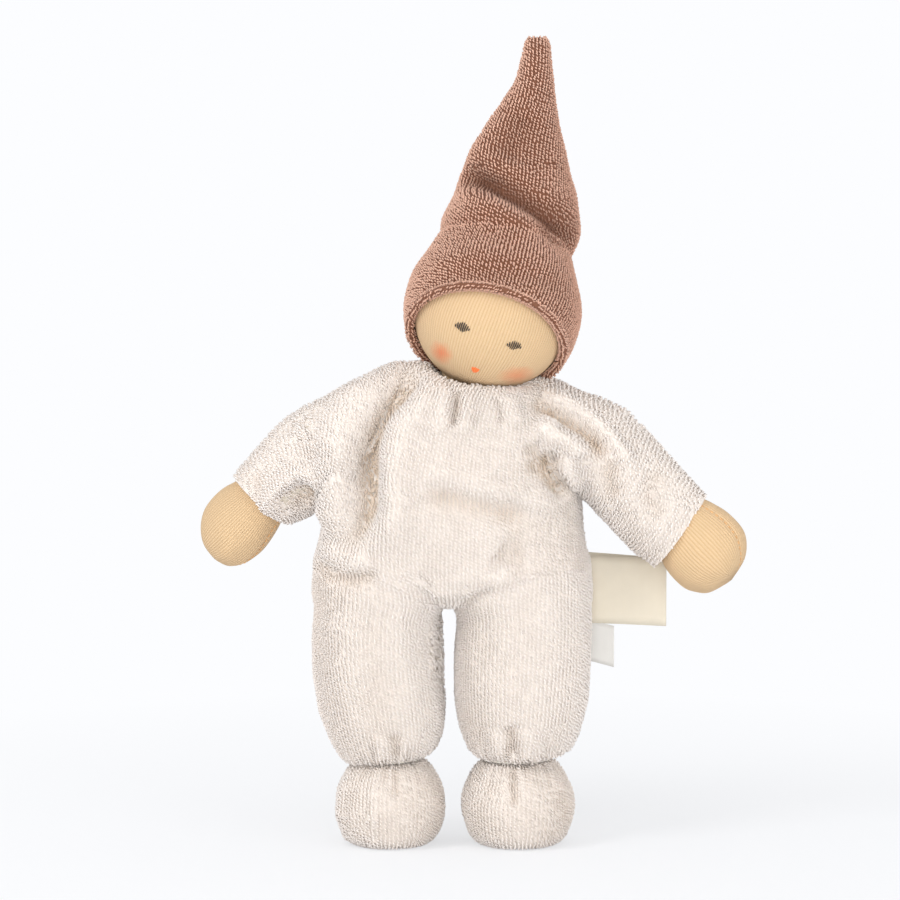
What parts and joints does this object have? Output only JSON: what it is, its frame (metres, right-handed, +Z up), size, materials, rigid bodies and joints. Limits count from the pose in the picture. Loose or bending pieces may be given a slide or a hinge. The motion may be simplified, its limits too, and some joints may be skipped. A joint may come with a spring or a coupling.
{
  "type": "waldorf doll",
  "caption": "Soft stuffed baby doll in a towelling suit and a long pointed cap, with ball head, mitt hands and tied-off feet; head, arms, hands, legs, feet and cap point bend at cloth joints.",
  "frame": {"origin": "on the ground under the middle of the doll's reach, between the feet", "axes": "+Z up from the soles to the cap's tip, -Y where the doll's body faces, +X the doll's own left"},
  "size_m": [0.2159, 0.0749, 0.3199],
  "materials": {
    "suit_towelling": "cream cotton towelling, short loops in rows, matt",
    "cap_towelling": "dusty brown cotton towelling with paler loop tips, matt",
    "knitted_skin": "fine ribbed cotton knit, stretched smooth, matt",
    "wool_stuffing": "carded sheep's wool, packed",
    "tying_thread": "strong linen thread",
    "eye_thread": "dark brown embroidery thread",
    "mouth_thread": "red embroidery thread",
    "label_ribbon": "woven satin ribbon, soft sheen, bare"
  },
  "bodies": {
    "torso": {"suit_trunk": "suit_towelling", "trunk_wool": "wool_stuffing"},
    "neck": {"neck": "knitted_skin"},
    "neck_tie": {"neck_tie": "tying_thread"},
    "head": {"head_skin": "knitted_skin", "head_wool": "wool_stuffing", "left_eye": "eye_thread", "right_eye": "eye_thread", "mouth": "mouth_thread", "cap_crown": "cap_towelling", "cap_hem": "cap_towelling", "cap_fold": "cap_towelling"},
    "cap_point": {"cap_point": "cap_towelling"},
    "left_arm": {"left_sleeve": "suit_towelling", "left_arm_wool": "wool_stuffing"},
    "right_arm": {"right_sleeve": "suit_towelling", "right_arm_wool": "wool_stuffing"},
    "left_hand": {"left_hand": "knitted_skin", "left_hand_wool": "wool_stuffing"},
    "right_hand": {"right_hand": "knitted_skin", "right_hand_wool": "wool_stuffing"},
    "left_leg": {"left_leg": "suit_towelling", "left_leg_wool": "wool_stuffing", "left_ankle_tie": "tying_thread"},
    "right_leg": {"right_leg": "suit_towelling", "right_leg_wool": "wool_stuffing", "right_ankle_tie": "tying_thread"},
    "left_foot": {"left_foot": "suit_towelling", "left_foot_wool": "wool_stuffing"},
    "right_foot": {"right_foot": "suit_towelling", "right_foot_wool": "wool_stuffing"},
    "side_label": {"side_label": "label_ribbon"},
    "care_label": {"care_label": "label_ribbon"}
  },
  "joints": [
    {"name": "head_tilt", "type": "hinge", "parent": "torso", "child": "neck", "pos_m": [-0.0012, 0.0013, 0.186], "axis": [0, 1, 0], "range_deg": [-30, 5], "stiffness_Nm_per_rad": 0.8},
    {"name": "head_nod", "type": "hinge", "parent": "neck", "child": "neck_tie", "pos_m": [-0.0012, 0.0013, 0.186], "axis": [0.9397, 0, -0.342], "range_deg": [-12, 12], "stiffness_Nm_per_rad": 0.8},
    {"name": "head_turn", "type": "hinge", "parent": "neck_tie", "child": "head", "pos_m": [-0.0012, 0.0013, 0.186], "axis": [0.3368, -0.1736, 0.9254], "range_deg": [-60, 60], "stiffness_Nm_per_rad": 0.2},
    {"name": "point_flop", "type": "hinge", "parent": "head", "child": "cap_point", "pos_m": [0.01899, 0.00574, 0.25966], "axis": [0.9877, 0.0437, -0.1504], "range_deg": [-80, 30], "stiffness_Nm_per_rad": 0.03, "deforming": ["cap_fold"]},
    {"name": "left_shoulder", "type": "hinge", "parent": "torso", "child": "left_arm", "pos_m": [0.04915, 0.0013, 0.1605], "axis": [0.2419, 0.9703, 0], "range_deg": [-75, 15], "stiffness_Nm_per_rad": 0.2},
    {"name": "right_shoulder", "type": "hinge", "parent": "torso", "child": "right_arm", "pos_m": [-0.05585, 0.0013, 0.1605], "axis": [0.4695, 0.8829, 0], "range_deg": [-15, 75], "stiffness_Nm_per_rad": 0.2},
    {"name": "left_wrist", "type": "hinge", "parent": "left_arm", "child": "left_hand", "pos_m": [0.08071, -0.00657, 0.12797], "axis": [0.2419, 0.9703, 0], "range_deg": [-15, 15], "stiffness_Nm_per_rad": 0.1},
    {"name": "right_wrist", "type": "hinge", "parent": "right_arm", "child": "right_hand", "pos_m": [-0.08317, 0.01583, 0.1336], "axis": [0.732, 0.4784, -0.4851], "range_deg": [-15, 15], "stiffness_Nm_per_rad": 0.1},
    {"name": "left_hip", "type": "hinge", "parent": "torso", "child": "left_leg", "pos_m": [0.0198, 0.0013, 0.09], "axis": [1, 0, 0], "range_deg": [-85, 15], "stiffness_Nm_per_rad": 0.5},
    {"name": "right_hip", "type": "hinge", "parent": "torso", "child": "right_leg", "pos_m": [-0.0362, 0.0013, 0.09], "axis": [1, 0, 0], "range_deg": [-85, 15], "stiffness_Nm_per_rad": 0.5},
    {"name": "left_ankle", "type": "hinge", "parent": "left_leg", "child": "left_foot", "pos_m": [0.0178, 0.0013, 0.0345], "axis": [1, 0, 0], "range_deg": [-15, 15], "stiffness_Nm_per_rad": 0.5},
    {"name": "right_ankle", "type": "hinge", "parent": "right_leg", "child": "right_foot", "pos_m": [-0.0342, 0.0013, 0.0345], "axis": [1, 0, 0], "range_deg": [-15, 15], "stiffness_Nm_per_rad": 0.5},
    {"name": "side_label_flap", "type": "hinge", "parent": "torso", "child": "side_label", "pos_m": [0.0463, 0.0073, 0.1145], "axis": [0, 0, 1], "range_deg": [-35, 35], "stiffness_Nm_per_rad": 0.002},
    {"name": "care_label_flap", "type": "hinge", "parent": "torso", "child": "care_label", "pos_m": [0.0463, 0.0073, 0.0887], "axis": [0, 0, 1], "range_deg": [-35, 20], "stiffness_Nm_per_rad": 0.001}
  ]
}
